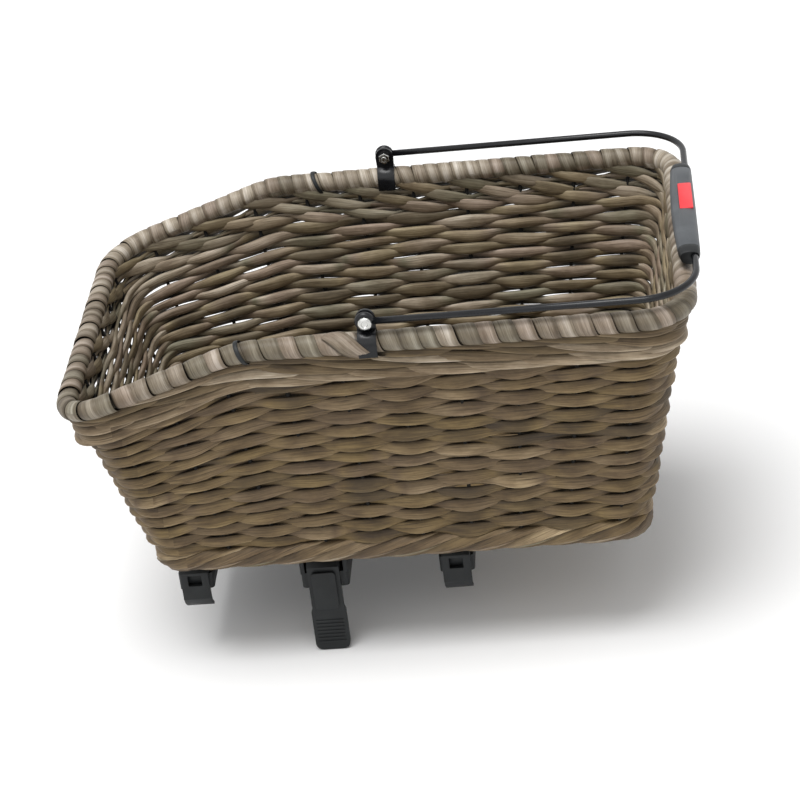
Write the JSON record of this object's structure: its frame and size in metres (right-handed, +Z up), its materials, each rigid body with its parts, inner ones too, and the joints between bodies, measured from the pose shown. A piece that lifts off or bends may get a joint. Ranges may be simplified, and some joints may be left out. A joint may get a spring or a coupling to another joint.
{
  "type": "bicycle basket",
  "caption": "Woven bicycle basket with a dipped front rim, a folding carrying handle with a grip, and a quick-release rack clamp underneath.",
  "frame": {"origin": "middle of the clamp's flat underside, on the plane where it rests on the two rack tubes", "axes": "+Z up, +X towards the rear of the bicycle and the folded handle's grip, -Y the near side with the release lever"},
  "size_m": [0.428, 0.2698, 0.2801],
  "materials": {
    "willow": "split strands, matt",
    "willow_wrap": "flat strip, satin",
    "painted_steel": "gloss black",
    "zinc_steel": "bright zinc",
    "spring_steel": "drawn wire",
    "black_plastic": "moulded, fine grain",
    "grey_grip": "moulded, soft",
    "red_inlay": "plain",
    "black_rubber": "matt"
  },
  "bodies": {
    "basket": {"woven_wall": "willow", "woven_floor": "willow", "foot_border": "willow", "upper_wale": "willow", "rim_wire": "painted_steel", "rim_wrap": "willow_wrap", "near_tie_band": "black_plastic", "far_tie_band": "black_plastic", "near_pivot_bracket": "painted_steel", "near_pivot_screw": "zinc_steel", "near_pivot_nut": "zinc_steel", "near_pivot_washer": "black_plastic", "far_pivot_bracket": "painted_steel", "far_pivot_screw": "zinc_steel", "far_pivot_nut": "zinc_steel", "far_pivot_washer": "black_plastic", "clamp_base": "black_plastic", "inner_plate": "black_plastic", "clamp_screw_1": "zinc_steel", "clamp_screw_2": "zinc_steel", "clamp_screw_3": "zinc_steel", "clamp_screw_4": "zinc_steel", "rack_pad_1": "black_rubber", "rack_pad_2": "black_rubber", "rack_pad_3": "black_rubber", "rack_pad_4": "black_rubber", "far_jaw": "black_plastic", "far_jaw_screw_1": "zinc_steel", "far_jaw_screw_2": "zinc_steel", "far_front_hook_liner": "black_rubber", "far_rear_hook_liner": "black_rubber", "lever_pin": "zinc_steel", "lever_spring": "spring_steel"},
    "handle": {"handle_wire": "painted_steel", "grip_body": "grey_grip", "near_grip_cap": "black_plastic", "far_grip_cap": "black_plastic", "grip_inlay": "red_inlay"},
    "jaw": {"near_jaw": "black_plastic", "near_front_hook_liner": "black_rubber", "near_rear_hook_liner": "black_rubber"},
    "lever": {"release_lever": "black_plastic", "lever_panel": "black_plastic"}
  },
  "joints": [
    {"name": "handle_fold", "type": "hinge", "parent": "basket", "child": "handle", "pos_m": [0.0556, 0, 0.2255], "axis": [0, -1, 0], "range_deg": [0, 180]},
    {"name": "lever_pull", "type": "hinge", "parent": "basket", "child": "lever", "pos_m": [0, -0.076, 0.025], "axis": [-1, 0, 0], "range_deg": [0, 60], "stiffness_Nm_per_rad": 0.3, "springref_deg": -17.19},
    {"name": "jaw_slide", "type": "slide", "parent": "basket", "child": "jaw", "axis": [0, -1, 0], "range_m": [0, 0.0085]}
  ],
  "couplings": [
    {"joint": "jaw_slide", "follows": "lever_pull", "m_per_rad": 0.0081169}
  ]
}
